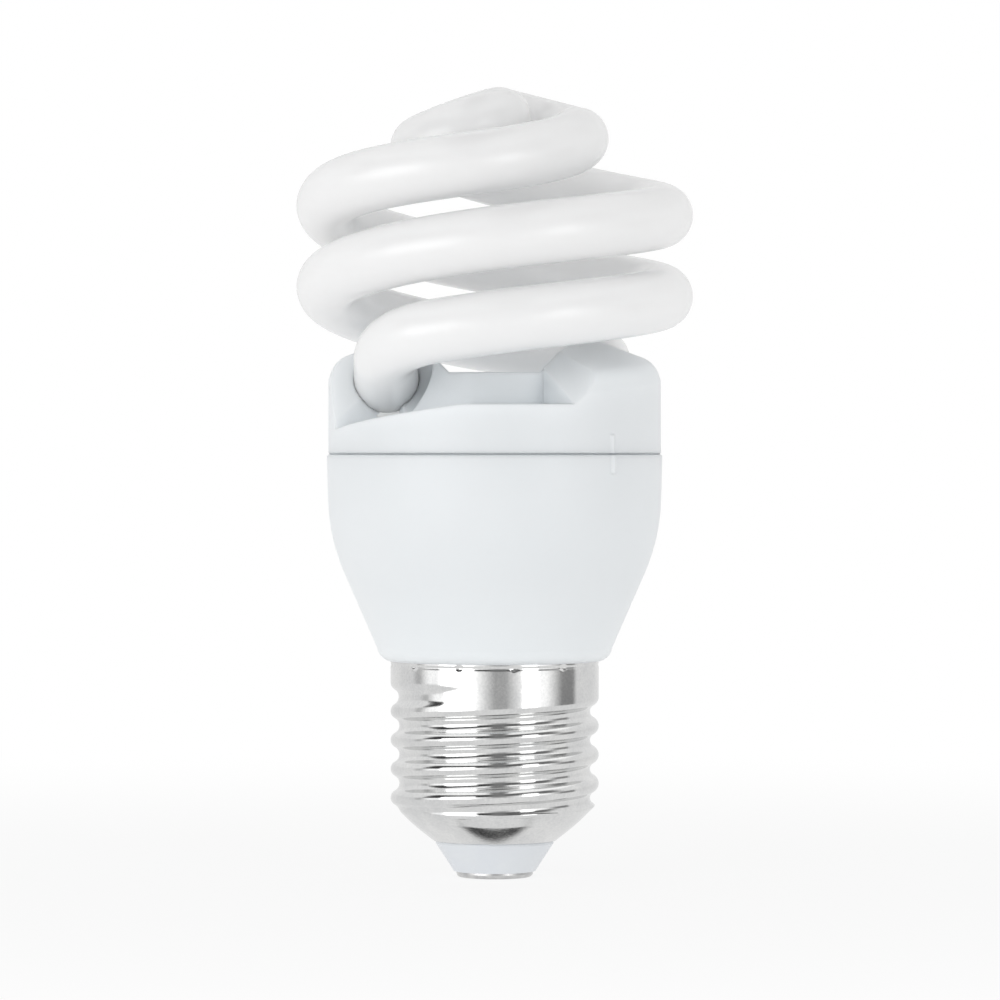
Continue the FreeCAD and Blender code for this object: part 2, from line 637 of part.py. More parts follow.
def arm(turn):
    """Stations of one arm from its straight leg to just below the crown's middle, as (place, heading)."""
    leave = number("leave_angle")
    bend = math.radians(180 + leave)
    plan_x = number("helix_r") * math.cos(math.radians(leave))
    plan_y = number("helix_r") * math.sin(math.radians(leave))
    elbow_r = (number("leg_x") + plan_x) / (1 - math.cos(bend))
    run = -number("riser_y") - plan_y - elbow_r * math.sin(bend)
    leg_top = run / math.cos(math.radians(number("leg_slope")))
    angles = [leave + (CROWN_EDGE - leave) * index / HELIX_STATIONS for index in range(HELIX_STATIONS)]
    for index in range(CROWN_STATIONS):
        share = (1 - index / CROWN_STATIONS) ** (1 / number("crown_power"))
        angles.append(CROWN_MIDDLE - (CROWN_MIDDLE - CROWN_EDGE) * share)
    stations = [leg_frame(turn, -number("leg_inside")), leg_frame(turn, leg_top)]
    stations = [(frame.Base, frame.Rotation.multVec(Vector(0, 0, 1))) for frame in stations]
    for angle in angles:
        stations.append((arm_point(angle, turn), arm_heading(angle, turn)))
    return stations


def biarc(start, heading, stop, arrival):
    """The place where two arcs meet that lead smoothly from one station to the next."""
    span = stop - start
    both = heading + arrival
    open_up = 2 * (1 - heading.dot(arrival))
    reach = span.dot(both)
    if open_up < 1e-9:
        length = span.dot(span) / (2 * reach)
    else:
        length = (math.sqrt(reach ** 2 + open_up * span.dot(span)) - reach) / open_up
    return (start + heading * length + stop - arrival * length) * 0.5


def rod(stations, radius):
    """A round rod through stations, made of straight stretches and arcs, closed by flat ends."""
    start, heading = stations[0]
    ring = Part.makeCircle(radius, start, heading)
    faces = [Part.Face(Part.Wire([ring]))]
    for stop, arrival in stations[1:]:
        meet = biarc(start, heading, stop, arrival)
        for goal in (meet, stop):
            chord = goal - start
            side = chord - heading * chord.dot(heading)
            if side.Length < 1e-6:
                faces.append(ring.extrude(chord))
                ring = ring.translated(chord)
            else:
                side.normalize()
                axis = heading.cross(side)
                centre = start + side * (chord.dot(chord) / (2 * chord.dot(side)))
                turn = math.degrees(2 * math.atan2(chord.dot(side), chord.dot(heading)))
                faces.append(ring.revolve(centre, axis, turn))
                ring = ring.rotated(centre, axis, turn)
                heading = Rotation(axis, turn).multVec(heading)
            start = goal
    faces.append(Part.Face(Part.Wire([ring])))
    shell = Part.makeShell(faces)
    shell.sewShape()
    solid = Part.makeSolid(shell)
    return solid if solid.Volume > 0 else solid.reversed()


near, far = arm(TURNS[0]), arm(TURNS[1])
stations = near + [(arm_point(CROWN_MIDDLE, TURNS[0]), arm_heading(CROWN_MIDDLE, TURNS[0]))]
stations += [(place, heading * -1) for place, heading in far[::-1]]
tube = doc.addObject("Part::Feature", "tube")
tube.Shape = rod(stations, number("tube_r"))
node(tube, "spiral_tube")

# Tube cement: a ring round each leg, against the inner face of its riser.
rings = []
for turn in TURNS:
    ring = cut("cement_ring", cylinder("cement_disc", "cement_r", "cement_length"),
               cylinder("cement_bore", "tube_r", "cement_length"))
    ring.Placement = leg_frame(turn, -number("cover_wall + cement_length"))
    rings.append(ring)
node(cut("cement", joined("Part::Compound", "cement_rings", rings), drilled), "tube_cement")

# Circuit board: a round board clamped between the housing's ribs and the cover's spigot.
BOARD_TOP = "(rim_z - spigot_depth)"
node(cylinder("board", "belly_r - housing_wall - board_clear", "board_thick", z=BOARD_Z), "circuit_board")


def placed(item, x, y, turn=0):
    """Hangs a component, drawn below its own origin, from the board's underside."""
    item.Placement = Placement(Vector(x, y, number(BOARD_Z)), Rotation(Vector(0, 0, 1), turn))
    return item


# Smoothing capacitor: an aluminium can with a rolled groove, its rubber end on the board.
can = turned("smoothing_can", [
    ("0", "0"),
    ("can_r - can_edge", "0", "-can_edge"),
    ("can_r", "-can_edge"),
    ("can_r", "-can_groove + can_edge"),
    ("can_r - can_edge", "-can_groove"),
    ("can_r", "-can_groove - can_edge"),
    ("can_r", "can_edge - can_length", "-can_edge"),
    ("can_r - can_edge", "-can_length"),
    ("0", "-can_length"),
])
node(placed(can, number("can_x"), number("can_y")), "smoothing_capacitor")

# Ballast choke: a ferrite frame round the middle leg, a bobbin on that leg and its winding.
WINDOW = "((core_width - core_leg) / 2 - core_side)"
core_block = box("choke_block", "core_width", "core_depth", "core_height",
                 x="-core_width / 2", y="-core_depth / 2", z="-core_height - choke_gap")
windows = []
for start in ("core_leg / 2", "-core_leg / 2 - " + WINDOW):
    windows.append(box("choke_window", WINDOW, "core_depth + 2 * spare", "core_height - 2 * core_side",
                       x=start, y="-core_depth / 2 - spare", z="core_side - core_height - choke_gap"))
choke_core = cut("choke_core", core_block, joined("Part::Compound", "choke_windows", windows))


def choke_ring(name, grow, low, high):
    """A block round the choke's middle leg, from one height to another below the board."""
    height = "%s - (%s)" % (high, low)
    block = box(name + "_block", "core_leg + 2 * (%s)" % grow, "core_depth + 2 * (%s)" % grow, height,
                x="-core_leg / 2 - (%s)" % grow, y="-core_depth / 2 - (%s)" % grow, z=low)
    hole = box(name + "_hole", "core_leg", "core_depth", height,
               x="-core_leg / 2", y="-core_depth / 2", z=low)
    return cut(name, block, hole)


COIL_LOW = "(core_side - core_height - choke_gap + flange)"
COIL_HIGH = "(-core_side - choke_gap - flange)"
FLANGE = "(%s - bobbin_clear)" % WINDOW
spool = [choke_ring("bobbin_tube", "flange", COIL_LOW, COIL_HIGH)]
spool.append(choke_ring("bobbin_low", FLANGE, COIL_LOW + " - flange", COIL_LOW))
spool.append(choke_ring("bobbin_high", FLANGE, COIL_HIGH, COIL_HIGH + " + flange"))
for side in ("core_depth / 2", "-core_depth / 2 - (%s)" % FLANGE):
    spool.append(box("bobbin_rail", "core_leg + 2 * (%s)" % FLANGE, FLANGE, "core_side + choke_gap",
                     x="-core_leg / 2 - (%s)" % FLANGE, y=side, z="-core_side - choke_gap"))
bobbin = joined("Part::MultiFuse", "choke_bobbin", spool)
coil_block = choke_ring("choke_coil", FLANGE + " - flange", COIL_LOW, COIL_HIGH)
bind(coil_block.Tool, Length="core_leg + 2 * flange", Width="core_depth + 2 * flange",
     x="-core_leg / 2 - flange", y="-core_depth / 2 - flange")
for item, label in ((choke_core, "core"), (bobbin, "bobbin"), (coil_block, "winding")):
    node(placed(item, number("choke_x"), number("choke_y")), "ballast_choke_" + label)

# Drive transformer: a small ferrite ring with three short windings, flat under the board.
ring_core = turned("ring_core", [
    ("ring_inner", "-drive_coil"),
    ("ring_outer", "-drive_coil"),
    ("ring_outer", "-drive_coil - ring_height"),
    ("ring_inner", "-drive_coil - ring_height"),
])
coils = []
for index in range(3):
    body, sketch = body_sketch("drive_coil", "XZ_Plane", [
        ("ring_inner - drive_coil", "0"),
        ("ring_outer + drive_coil", "0"),
        ("ring_outer + drive_coil", "-2 * drive_coil - ring_height"),
        ("ring_inner - drive_coil", "-2 * drive_coil - ring_height"),
    ])
    sweep = body.newObject("PartDesign::Revolution", "drive_coil_turn")
    sweep.Profile = sketch
    sweep.ReferenceAxis = (sketch, ["V_Axis"])
    bind(sweep, Angle="drive_span")
    body.Placement = Placement(Vector(), Rotation(Vector(0, 0, 1), 120 * index))
    doc.recompute()
    coils.append(cut("drive_coil_%d" % index, body, ring_core))
node(placed(joined("Part::Compound", "drive_coils", coils), number("drive_x"), number("drive_y")),
     "drive_transformer_winding")
ring_node = joined("Part::Compound", "drive_core", [ring_core])
node(placed(ring_node, number("drive_x"), number("drive_y")), "drive_transformer_core")

# Filter inductor: a sleeved drum standing on the board.
drum = turned("filter_drum", [
    ("0", "0"),
    ("drum_r - drum_edge", "0", "-drum_edge"),
    ("drum_r", "-drum_edge"),
    ("drum_r", "drum_edge - drum_length", "-drum_edge"),
    ("drum_r - drum_edge", "-drum_length"),
    ("0", "-drum_length"),
])
node(placed(drum, number("drum_x"), number("drum_y")), "filter_inductor")


def film_capacitor(name, length, width, height, edge):
    """A moulded box with rounded upright edges."""
    half = ("%s / 2" % length, "%s / 2" % width)
    body = padded(name, [
        ("%s - %s" % (half[0], edge), "-" + half[1], edge),
        (half[0], "%s - %s" % (edge, half[1])),
        (half[0], "%s - %s" % (half[1], edge), edge),
        ("%s - %s" % (half[0], edge), half[1]),
        ("%s - %s" % (edge, half[0]), half[1], edge),
        ("-" + half[0], "%s - %s" % (half[1], edge)),
        ("-" + half[0], "%s - %s" % (edge, half[1]), edge),
        ("%s - %s" % (edge, half[0]), "-" + half[1]),
    ], height)
    body.Tip.Reversed = True
    doc.recompute()
    return body


resonant = film_capacitor("resonant", "resonant_length", "resonant_width", "resonant_height", "film_edge")
node(placed(resonant, number("resonant_x"), number("resonant_y"), 90), "resonant_capacitor")
blocking = film_capacitor("blocking", "blocking_length", "blocking_width", "blocking_height", "film_edge")
node(placed(blocking, number("blocking_x"), number("blocking_y")), "blocking_capacitor")

# Switching transistors: D-shaped moulded bodies on three legs each.
transistors = []
for side in (-1, 1):
    round_body = cylinder("transistor_round", "case_r", "case_height", z="-case_height - case_drop")
    flat = box("transistor_flat", "2 * case_r", "2 * case_r", "case_height", x="-case_r", y="case_flat",
               z="-case_height - case_drop")
    pieces = [cut("transistor_case", round_body, flat)]
    for leg in (-1, 0, 1):
        pieces.append(box("transistor_leg", "lead_r * 2", "lead_r * 2", "case_drop + lead_r",
                          x="%d * leg_pitch - lead_r" % leg, y="-lead_r", z="-case_drop - lead_r"))
    transistor = joined("Part::MultiFuse", "transistor", pieces)
    transistors.append(placed(transistor, side * number("case_x"), number("case_y"), -90 * side))
node(joined("Part::Compound", "transistors", transistors), "switching_transistors")


def on_ring(item, radius, angle):
    """Hangs a component from the board on a ring inside the ribs, its length along the ring."""
    spot = Rotation(Vector(0, 0, 1), angle).multVec(Vector(number(radius), 0, 0))
    return placed(item, spot.x, spot.y, angle + 90)


def axial(name, radius, length, angles, inner=()):
    """Axial components with bent leads against the board, at angles on the ring or one row inside it."""
    copies = []
    rows = [(angle, "ring_r - " + radius) for angle in angles]
    rows += [(angle, "ring_r - 3 * %s - part_clear" % radius) for angle in inner]
    for angle, reach in rows:
        body = cylinder(name + "_body", radius, length, x="-(%s) / 2" % length, z="-(%s)" % radius)
        body.Placement.Rotation = Rotation(Vector(0, 1, 0), 90)
        lead = cylinder(name + "_lead", "lead_r", "%s + 2 * lead_out" % length,
                        x="-(%s) / 2 - lead_out" % length, z="-(%s)" % radius)
        lead.Placement.Rotation = Rotation(Vector(0, 1, 0), 90)
        pieces = [body, lead]
        for side in ("", "-"):
            pin = cylinder(name + "_pin", "lead_r", "%s + lead_r" % radius,
                           x=side + "(%s / 2 + lead_out - lead_r)" % length, z="-(%s) - lead_r" % radius)
            pieces.append(pin)
        copies.append(on_ring(joined("Part::MultiFuse", name, pieces), reach, angle))
    return joined("Part::Compound", name + "_set", copies)


node(axial("diode", "diode_r", "diode_length", (190, 216, 242), (229,)), "rectifier_diodes")
node(axial("resistor", "resistor_r", "resistor_length", (50, 78, 106, 315)), "resistors")
node(axial("trigger", "trigger_r", "trigger_length", (130,)), "trigger_diode")
node(axial("fuse", "fuse_r", "fuse_length", (355,)), "fuse_resistor")

# Wire pins: square posts on the board to which the tube's leads are wound.
PIN_RING = number(SPIGOT + " - spigot_wall - pin_clear - pin_width")
PINS = []
for angle in (147, 132, 327, 312):
    PINS.append((PIN_RING * math.cos(math.radians(angle)), PIN_RING * math.sin(math.radians(angle))))
posts = []
for x, y in PINS:
    posts.append(box("wire_pin", "pin_width", "pin_width", "pin_height", x="%f - pin_width / 2" % x,
                     y="%f - pin_width / 2" % y, z=BOARD_TOP))
node(joined("Part::Compound", "posts", posts), "wire_pins")

# Tube lead wires: two from each end of the tube down to their pins.
leads = []
for index, (x, y) in enumerate(PINS):
    frame = leg_frame(TURNS[index // 2], -number("leg_inside"))
    away = frame.Rotation.multVec(Vector(0, 0, -1))
    start = frame.multVec(Vector((-1, 1)[index % 2] * number("lead_spread"), 0, 0))
    goal = Vector(x, y, number(BOARD_TOP + " + pin_height"))
    lead = doc.addObject("Part::Feature", "tube_lead")
    lead.Shape = rod([(start, away), (goal, Vector(0, 0, -1))], number("lead_r"))
    leads.append(lead)
node(joined("Part::Compound", "tube_leads", leads), "tube_lead_wires")

# Live wire: from the board past the capacitor to the bore of the contact's stem.
live = doc.addObject("Part::Feature", "live")
down = Vector(0, 0, -1)
live.Shape = rod([
    (Vector(number("live_x"), number("live_y"), number(BOARD_Z)), down),
    (Vector(number("live_x"), number("live_y"), number("wire_bend")), down),
    (Vector(0, 0, number("stem_top + live_run")), down),
    (Vector(0, 0, number("contact_thick")), down),
], number("wire_r"))
node(live, "live_wire")

# Neutral wire: from the board to the inside of the screw shell.
neutral = doc.addObject("Part::Feature", "neutral")
neutral.Shape = rod([
    (Vector(-number("live_x"), number("live_y"), number(BOARD_Z)), down),
    (Vector(-number("live_x"), number("live_y"), number("wire_bend")), down),
    (Vector(-number("live_x"), 0, number("neck_low")), down),
    (Vector(-number(ROOT + " - shell_wall - wire_r"), 0, number("neutral_low + neutral_weld")), down),
    (Vector(-number(ROOT + " - shell_wall - wire_r"), 0, number("neutral_low")), down),
], number("wire_r"))
node(neutral, "neutral_wire")

doc.recompute()
for item in doc.Objects:
    if "Invalid" in item.State or "Error" in item.State:
        raise RuntimeError("%s: %s" % (item.Name, item.getStatusString()))
os.makedirs("parts", exist_ok=True)
for item in NODES:
    if item.Shape.isNull() or not item.Shape.isValid():
        raise RuntimeError("%s has no sound shape" % item.Label)
    item.Shape.exportStep("parts/%s.step" % item.Label)
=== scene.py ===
import math
from collections import namedtuple

import bpy
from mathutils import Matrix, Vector


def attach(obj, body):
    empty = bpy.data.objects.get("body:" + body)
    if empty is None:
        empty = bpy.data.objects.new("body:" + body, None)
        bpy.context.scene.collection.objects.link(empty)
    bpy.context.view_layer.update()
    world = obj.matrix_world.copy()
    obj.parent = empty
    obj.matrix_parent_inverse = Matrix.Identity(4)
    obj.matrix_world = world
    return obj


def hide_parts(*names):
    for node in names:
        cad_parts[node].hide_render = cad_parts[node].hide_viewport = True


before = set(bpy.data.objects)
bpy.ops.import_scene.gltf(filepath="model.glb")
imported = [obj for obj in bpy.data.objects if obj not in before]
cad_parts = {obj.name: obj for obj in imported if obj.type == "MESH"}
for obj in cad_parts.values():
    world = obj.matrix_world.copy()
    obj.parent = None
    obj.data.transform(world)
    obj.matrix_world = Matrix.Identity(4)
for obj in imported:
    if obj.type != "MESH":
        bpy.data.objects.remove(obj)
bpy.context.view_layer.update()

# Screw shell: a bright cap rolled from thin sheet, with a right-hand thread, a plain band and a cone below.
# Its thread runs out into the band, and a ring of punched dimples stakes the band to the plastic neck.
# Sizes are in metres. The lip and the knee at the cone's two ends are each a radius and a height.
SHELL_LIP = (0.00774, 0.0046)
SHELL_KNEE = (0.01069, 0.0070)
SHELL_TOP = 0.0272
SHELL_WALL = 0.00035
SHELL_STEPS_ROUND = 360
SHELL_STEPS_UP = 150
SHELL_SMOOTH_ANGLE = math.radians(50)
SAME_POINT = 1e-6
BAND_R = 0.01312
CREST_R = 0.0131
THREAD_DEPTH = 0.0011
THREAD_PITCH = 0.003629
THREAD_ROUND = 0.001025
THREAD_PHASE = 0.0045
RUN_OUT = (0.0225, 0.0235)
CONE_BULGE = 0.00006
KNEE_BLEND = 0.00045
CRIMP_DEPTH = 0.00006
CRIMP_HALF = 0.0003
DIMPLE_R = 0.0005
DIMPLE_FLAT = 0.15
DIMPLE_DEPTH = 0.00014
DIMPLE_Z = 0.0267
DIMPLE_COUNT = 12
DIMPLE_TURN = math.radians(-79.5)
# The inner wall goes down from the band's top edge to the lip: each ring's radius and its step in height.
INNER_RINGS = (
    (BAND_R - SHELL_WALL, 0),
    (BAND_R - SHELL_WALL, -0.0034),
    (0.01165, -0.0004),
    (0.01165, -0.0151),
    (0.01023, -0.0013),
    (SHELL_LIP[0] - SHELL_WALL, -0.0024),
)


def clamped(share):
    return min(max(share, 0.0), 1.0)


def smooth_share(value, low, high):
    """A soft step from nought to one between two values."""
    share = clamped((value - low) / (high - low))
    return share * share * (3 - 2 * share)


def thread_radius(angle, z):
    """Radius of the round-profiled thread, which fades out into the plain band."""
    turns = (z - THREAD_PHASE) / THREAD_PITCH - angle / (2 * math.pi)
    groove = math.floor(turns) + 0.5
    groove_z = THREAD_PHASE + THREAD_PITCH * (groove + angle / (2 * math.pi))
    off_root = abs(z - groove_z)
    off_crest = THREAD_PITCH / 2 - off_root
    off = min(off_crest, off_root)
    cut = (THREAD_ROUND - math.sqrt(THREAD_ROUND ** 2 - off ** 2)) / THREAD_DEPTH
    if off_root < off_crest:
        cut = 1 - cut
    depth = THREAD_DEPTH * (1 - smooth_share(groove_z, *RUN_OUT))
    return CREST_R - depth * cut


def cone_radius(z):
    """Radius of the slightly bulged cone, which runs on outwards above its knee."""
    cone_rise = SHELL_KNEE[1] - SHELL_LIP[1]
    slope = 1.0
    if z < SHELL_KNEE[1]:
        slope = (SHELL_KNEE[0] - SHELL_LIP[0]) / cone_rise
    share = min((z - SHELL_LIP[1]) / cone_rise, 1.0)
    return SHELL_KNEE[0] + (z - SHELL_KNEE[1]) * slope + CONE_BULGE * 4 * share * (1 - share)


def shell_radius(angle, z):
    """Outer radius of the shell: the lesser of thread and cone, less the crimp line and the dimples."""
    radius = thread_radius(angle, z)
    cone = cone_radius(z)
    share = clamped(0.5 + (radius - cone) / (2 * KNEE_BLEND))
    radius = radius + (cone - radius) * share - KNEE_BLEND * share * (1 - share) / 2
    step = 2 * math.pi / DIMPLE_COUNT
    off = (angle - DIMPLE_TURN + step / 2) % step - step / 2
    reach = math.hypot(off * BAND_R, z - DIMPLE_Z) / DIMPLE_R
    radius -= CRIMP_DEPTH * (1 - smooth_share(abs(z - DIMPLE_Z), 0.0, CRIMP_HALF))
    return radius - DIMPLE_DEPTH * (1 - smooth_share(reach, DIMPLE_FLAT, 1.0))


bpy.ops.object.select_all(action="DESELECT")
bpy.ops.mesh.primitive_grid_add(x_subdivisions=SHELL_STEPS_ROUND, y_subdivisions=SHELL_STEPS_UP, size=1)
shell = bpy.context.object
shell.name = "rolled_screw_shell"
# One side of the flat grid goes round the shell, and the other up it.
for vertex in shell.data.vertices:
    angle = (vertex.co.x + 0.5) * 2 * math.pi
    z = SHELL_LIP[1] + (vertex.co.y + 0.5) * (SHELL_TOP - SHELL_LIP[1])
    radius = shell_radius(angle, z)
    vertex.co = (radius * math.cos(angle), radius * math.sin(angle), z)
bpy.ops.object.mode_set(mode="EDIT")
bpy.ops.mesh.select_all(action="SELECT")
bpy.ops.mesh.remove_doubles(threshold=SAME_POINT)
bpy.ops.mesh.select_all(action="DESELECT")
bpy.ops.object.mode_set(mode="OBJECT")
for vertex in shell.data.vertices:
    vertex.select = vertex.co.z > SHELL_TOP - SAME_POINT
bpy.ops.object.mode_set(mode="EDIT")
ring_radius = CREST_R
for radius, rise in INNER_RINGS:
    bpy.ops.mesh.extrude_region_move()
    share = radius / ring_radius
    bpy.ops.transform.resize(value=(share, share, 1), center_override=(0, 0, 0))
    bpy.ops.transform.translate(value=(0, 0, rise))
    ring_radius = radius
bpy.ops.object.mode_set(mode="OBJECT")
for vertex in shell.data.vertices:
    vertex.select = abs(vertex.co.z - SHELL_LIP[1]) < SAME_POINT
bpy.ops.object.mode_set(mode="EDIT")
bpy.ops.mesh.bridge_edge_loops()
bpy.ops.mesh.select_all(action="SELECT")
bpy.ops.mesh.normals_make_consistent(inside=False)
bpy.ops.object.mode_set(mode="OBJECT")
bpy.ops.object.shade_smooth_by_angle(angle=SHELL_SMOOTH_ANGLE)


class Socket:
    """One output of a shader node. Arithmetic on it adds Math nodes to the same tree."""

    def __init__(self, tree, output):
        self.tree = tree
        self.output = output

    def node(self, kind, settings, sockets, output=0):
        """Any node, its settings made first and its sockets filled with values or links."""
        made = self.tree.nodes.new(kind)
        for name, value in settings.items():
            if name == "stops":
                ramp = made.color_ramp.elements
                while len(ramp) < len(value):
                    ramp.new(0.5)
                for stop, (position, colour) in zip(ramp, value):
                    stop.position = position
                    stop.color = colour
            else:
                setattr(made, name, value)
        for name, value in sockets.items():
            if isinstance(value, Socket):
                self.tree.links.new(value.output, made.inputs[name])
            else:
                made.inputs[name].default_value = value
        return Socket(self.tree, made.outputs[output])

    def maths(self, operation, first, second):
        return self.node("ShaderNodeMath", {"operation": operation}, {0: first, 1: second})

    def __add__(self, other):
        return self.maths("ADD", self, other)

    def __radd__(self, other):
        return self.maths("ADD", other, self)

    def __sub__(self, other):
        return self.maths("SUBTRACT", self, other)

    def __rsub__(self, other):
        return self.maths("SUBTRACT", other, self)

    def __mul__(self, other):
        return self.maths("MULTIPLY", self, other)

    def __rmul__(self, other):
        return self.maths("MULTIPLY", other, self)

    def __gt__(self, other):
        return self.maths("GREATER_THAN", self, other)

    def __lt__(self, other):
        return self.maths("LESS_THAN", self, other)

    def __abs__(self):
        return self.node("ShaderNodeMath", {"operation": "ABSOLUTE"}, {0: self})


def new_finish(name, **constants):
    """A material with one shader, its plain values set; gives the material, its shader and its coordinates."""
    material = bpy.data.materials.new(name)
    material.use_nodes = True
    tree = material.node_tree
    shader = tree.nodes["Principled BSDF"]
    for socket, value in constants.items():
        shader.inputs[socket.replace("_", " ")].default_value = value
    place = tree.nodes.new("ShaderNodeTexCoord")
    return material, shader, Socket(tree, place.outputs["Object"])


def feed(shader, **links):
    """Links varying values to a shader's sockets."""
    for socket, value in links.items():
        value.tree.links.new(value.output, shader.inputs[socket.replace("_", " ")])


def cloudy(place, scale, detail):
    """A cloudy pattern from nought to one, finer at a higher scale."""
    return place.node("ShaderNodeTexNoise", {}, {"Vector": place, "Scale": scale, "Detail": detail}, "Fac")


def tinted(pattern, low, high):
    """A colour that goes from one to another over the middle of a pattern's range."""
    stops = [(0.3, (*low, 1)), (0.7, (*high, 1))]
    return pattern.node("ShaderNodeValToRGB", {"stops": stops}, {"Fac": pattern}, "Color")


def relief(height, strength, distance, **sockets):
    """A fine relief with a pattern as its height."""
    sockets.update(Height=height, Strength=strength, Distance=distance)
    return height.node("ShaderNodeBump", {}, sockets, "Normal")


cap_metal, shader, place = new_finish("bright_rolled_cap", Metallic=1.0)
grain = cloudy(place, scale=3200.0, detail=2.0)
cloud = cloudy(place, scale=260.0, detail=4.0)
feed(shader,
     Base_Color=tinted(cloud * 0.6 + grain * 0.4, low=(0.66, 0.665, 0.67), high=(0.84, 0.84, 0.83)),
     Roughness=0.05 + cloud * 0.08 + grain * 0.05,
     Normal=relief(grain + cloud * 0.5, strength=0.06, distance=0.00005))
shell.data.materials.append(cap_metal)
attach(shell, "root")
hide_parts("screw_shell")


# Cap insulator: a pale moulded cone that keeps the shell apart from the centre contact.
# It is pressed into the shell's lower lip and shows faint flow marks from its mould.
def dress(node, material):
    """Gives a CAD node that keeps its own shape a finished material."""
    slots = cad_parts[node].data.materials
    slots.clear()
    slots.append(material)


insulator, shader, place = new_finish("pale_insulator", Coat_Weight=0.2, Coat_Roughness=0.25)
flow = cloudy(place, scale=240.0, detail=5.0)
feed(shader,
     Base_Color=tinted(flow, low=(0.70, 0.73, 0.77), high=(0.74, 0.765, 0.79)),
     Roughness=0.34 + flow * 0.12,
     Normal=relief(flow, strength=0.12, distance=0.0002))
dress("cap_insulator", insulator)

# Centre contact: a stamped disc of bright metal at the very bottom, with a hollow stem for the live wire.
# Its face is lightly scuffed by lampholder springs.
contact, shader, place = new_finish("stamped_contact", Metallic=1.0)
scuff = cloudy(place, scale=900.0, detail=6.0)
feed(shader,
     Base_Color=tinted(scuff, low=(0.52, 0.52, 0.53), high=(0.74, 0.74, 0.73)),
     Roughness=0.2 + scuff * 0.25,
     Normal=relief(scuff, strength=0.25, distance=0.0001))
dress("centre_contact", contact)

# Ballast housing and tube cover: two mouldings in the same white plastic, snapped together at the parting line.
# The surface is satin with a very fine spark-eroded texture from the mould, and the edges are slightly round.
EDGE_ROUND = 0.0005
white_plastic, shader, place = new_finish("white_moulding", Coat_Weight=0.15, Coat_Roughness=0.3,
                                          Subsurface_Weight=0.5, Subsurface_Radius=(1, 1, 1),
                                          Subsurface_Scale=0.004)
pebble = cloudy(place, scale=2600.0, detail=3.0)
drift = cloudy(place, scale=45.0, detail=3.0)
edge = place.node("ShaderNodeBevel", {"samples": 8}, {"Radius": EDGE_ROUND})
feed(shader,
     Base_Color=tinted(drift, low=(0.85, 0.895, 0.925), high=(0.875, 0.915, 0.945)),
     Roughness=0.36 + drift * 0.1 + pebble * 0.05,
     Normal=relief(pebble, strength=0.08, distance=0.00008, Normal=edge))
dress("ballast_housing", white_plastic)
dress("tube_cover", white_plastic)

# Seam lip: a thin lip of the cover, in the same white plastic, that reaches in behind the housing's rim.
# It closes the parting gap a little behind the outer faces, so the seam shows as a fine line.
LIP_R = 0.0207
LIP_HALF = 0.0001
LIP_Z = 0.0532
bpy.ops.object.select_all(action="DESELECT")
bpy.ops.mesh.primitive_torus_add(major_segments=180, minor_segments=12, major_radius=LIP_R,
                                 minor_radius=LIP_HALF, location=(0, 0, LIP_Z))
lip = bpy.context.object
lip.name = "seam_lip"
bpy.ops.object.transform_apply(location=True)
bpy.ops.object.shade_smooth()
lip.data.materials.append(white_plastic)
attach(lip, "root")

# Spiral tube: opal glass drawn, coated white inside and bent hot into a double helix with an S at the crown.
# The glass is glossy outside; the coating makes it look softly lit from within.
# Each leg swells by the seal's width where it enters the cover, and so fills its hole.
TUBE_SAME_POINT = 2e-5
TUBE_SMOOTH_ANGLE = math.radians(40)
LEG_FACE = Vector((-0.0135, -0.0046, 0.0626))
LEG_SLOPE = math.radians(20)
LEG_REACH = 0.005
LEG_SEAL = 0.00019
SEAL_FADE = (0.001, 0.003)
bpy.ops.object.select_all(action="DESELECT")
tube = bpy.data.objects.new("opal_spiral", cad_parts["spiral_tube"].data.copy())
bpy.context.scene.collection.objects.link(tube)
tube.select_set(True)
bpy.context.view_layer.objects.active = tube
bpy.ops.mesh.customdata_custom_splitnormals_clear()
bpy.ops.object.mode_set(mode="EDIT")
bpy.ops.mesh.select_all(action="SELECT")
bpy.ops.mesh.remove_doubles(threshold=TUBE_SAME_POINT)
bpy.ops.object.mode_set(mode="OBJECT")
bpy.ops.object.shade_smooth_by_angle(angle=TUBE_SMOOTH_ANGLE)
tube.data.materials.clear()
leg_out = Vector((0, -math.cos(LEG_SLOPE), math.sin(LEG_SLOPE)))
for turn in (1, -1):
    spin = Vector((turn, turn, 1))
    for vertex in tube.data.vertices:
        off = vertex.co - LEG_FACE * spin
        along = off.dot(leg_out * spin)
        aside = off - leg_out * spin * along
        if aside.length < LEG_REACH:
            vertex.co += aside.normalized() * LEG_SEAL * (1 - smooth_share(along, *SEAL_FADE))
opal, shader, place = new_finish("opal_glass", Coat_Weight=0.7, Coat_Roughness=0.14, Subsurface_Weight=1.0,
                                 Subsurface_Radius=(1, 1, 1), Subsurface_Scale=0.014, IOR=1.5)
haze = cloudy(place, scale=70.0, detail=4.0)
ripple = cloudy(place, scale=160.0, detail=1.0)
feed(shader,
     Base_Color=tinted(haze, low=(0.91, 0.91, 0.91), high=(0.94, 0.94, 0.94)),
     Roughness=0.3 + haze * 0.1,
     Normal=relief(ripple, strength=0.05, distance=0.0004))
tube.data.materials.append(opal)
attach(tube, "root")
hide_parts("spiral_tube")

# Tube cement: two rings of pale mineral cement that hold the tube's legs in the cover from behind.
# The cement is put on as a paste and sets hard, with a sandy surface.
Finish = namedtuple("Finish", "material shader place tint")


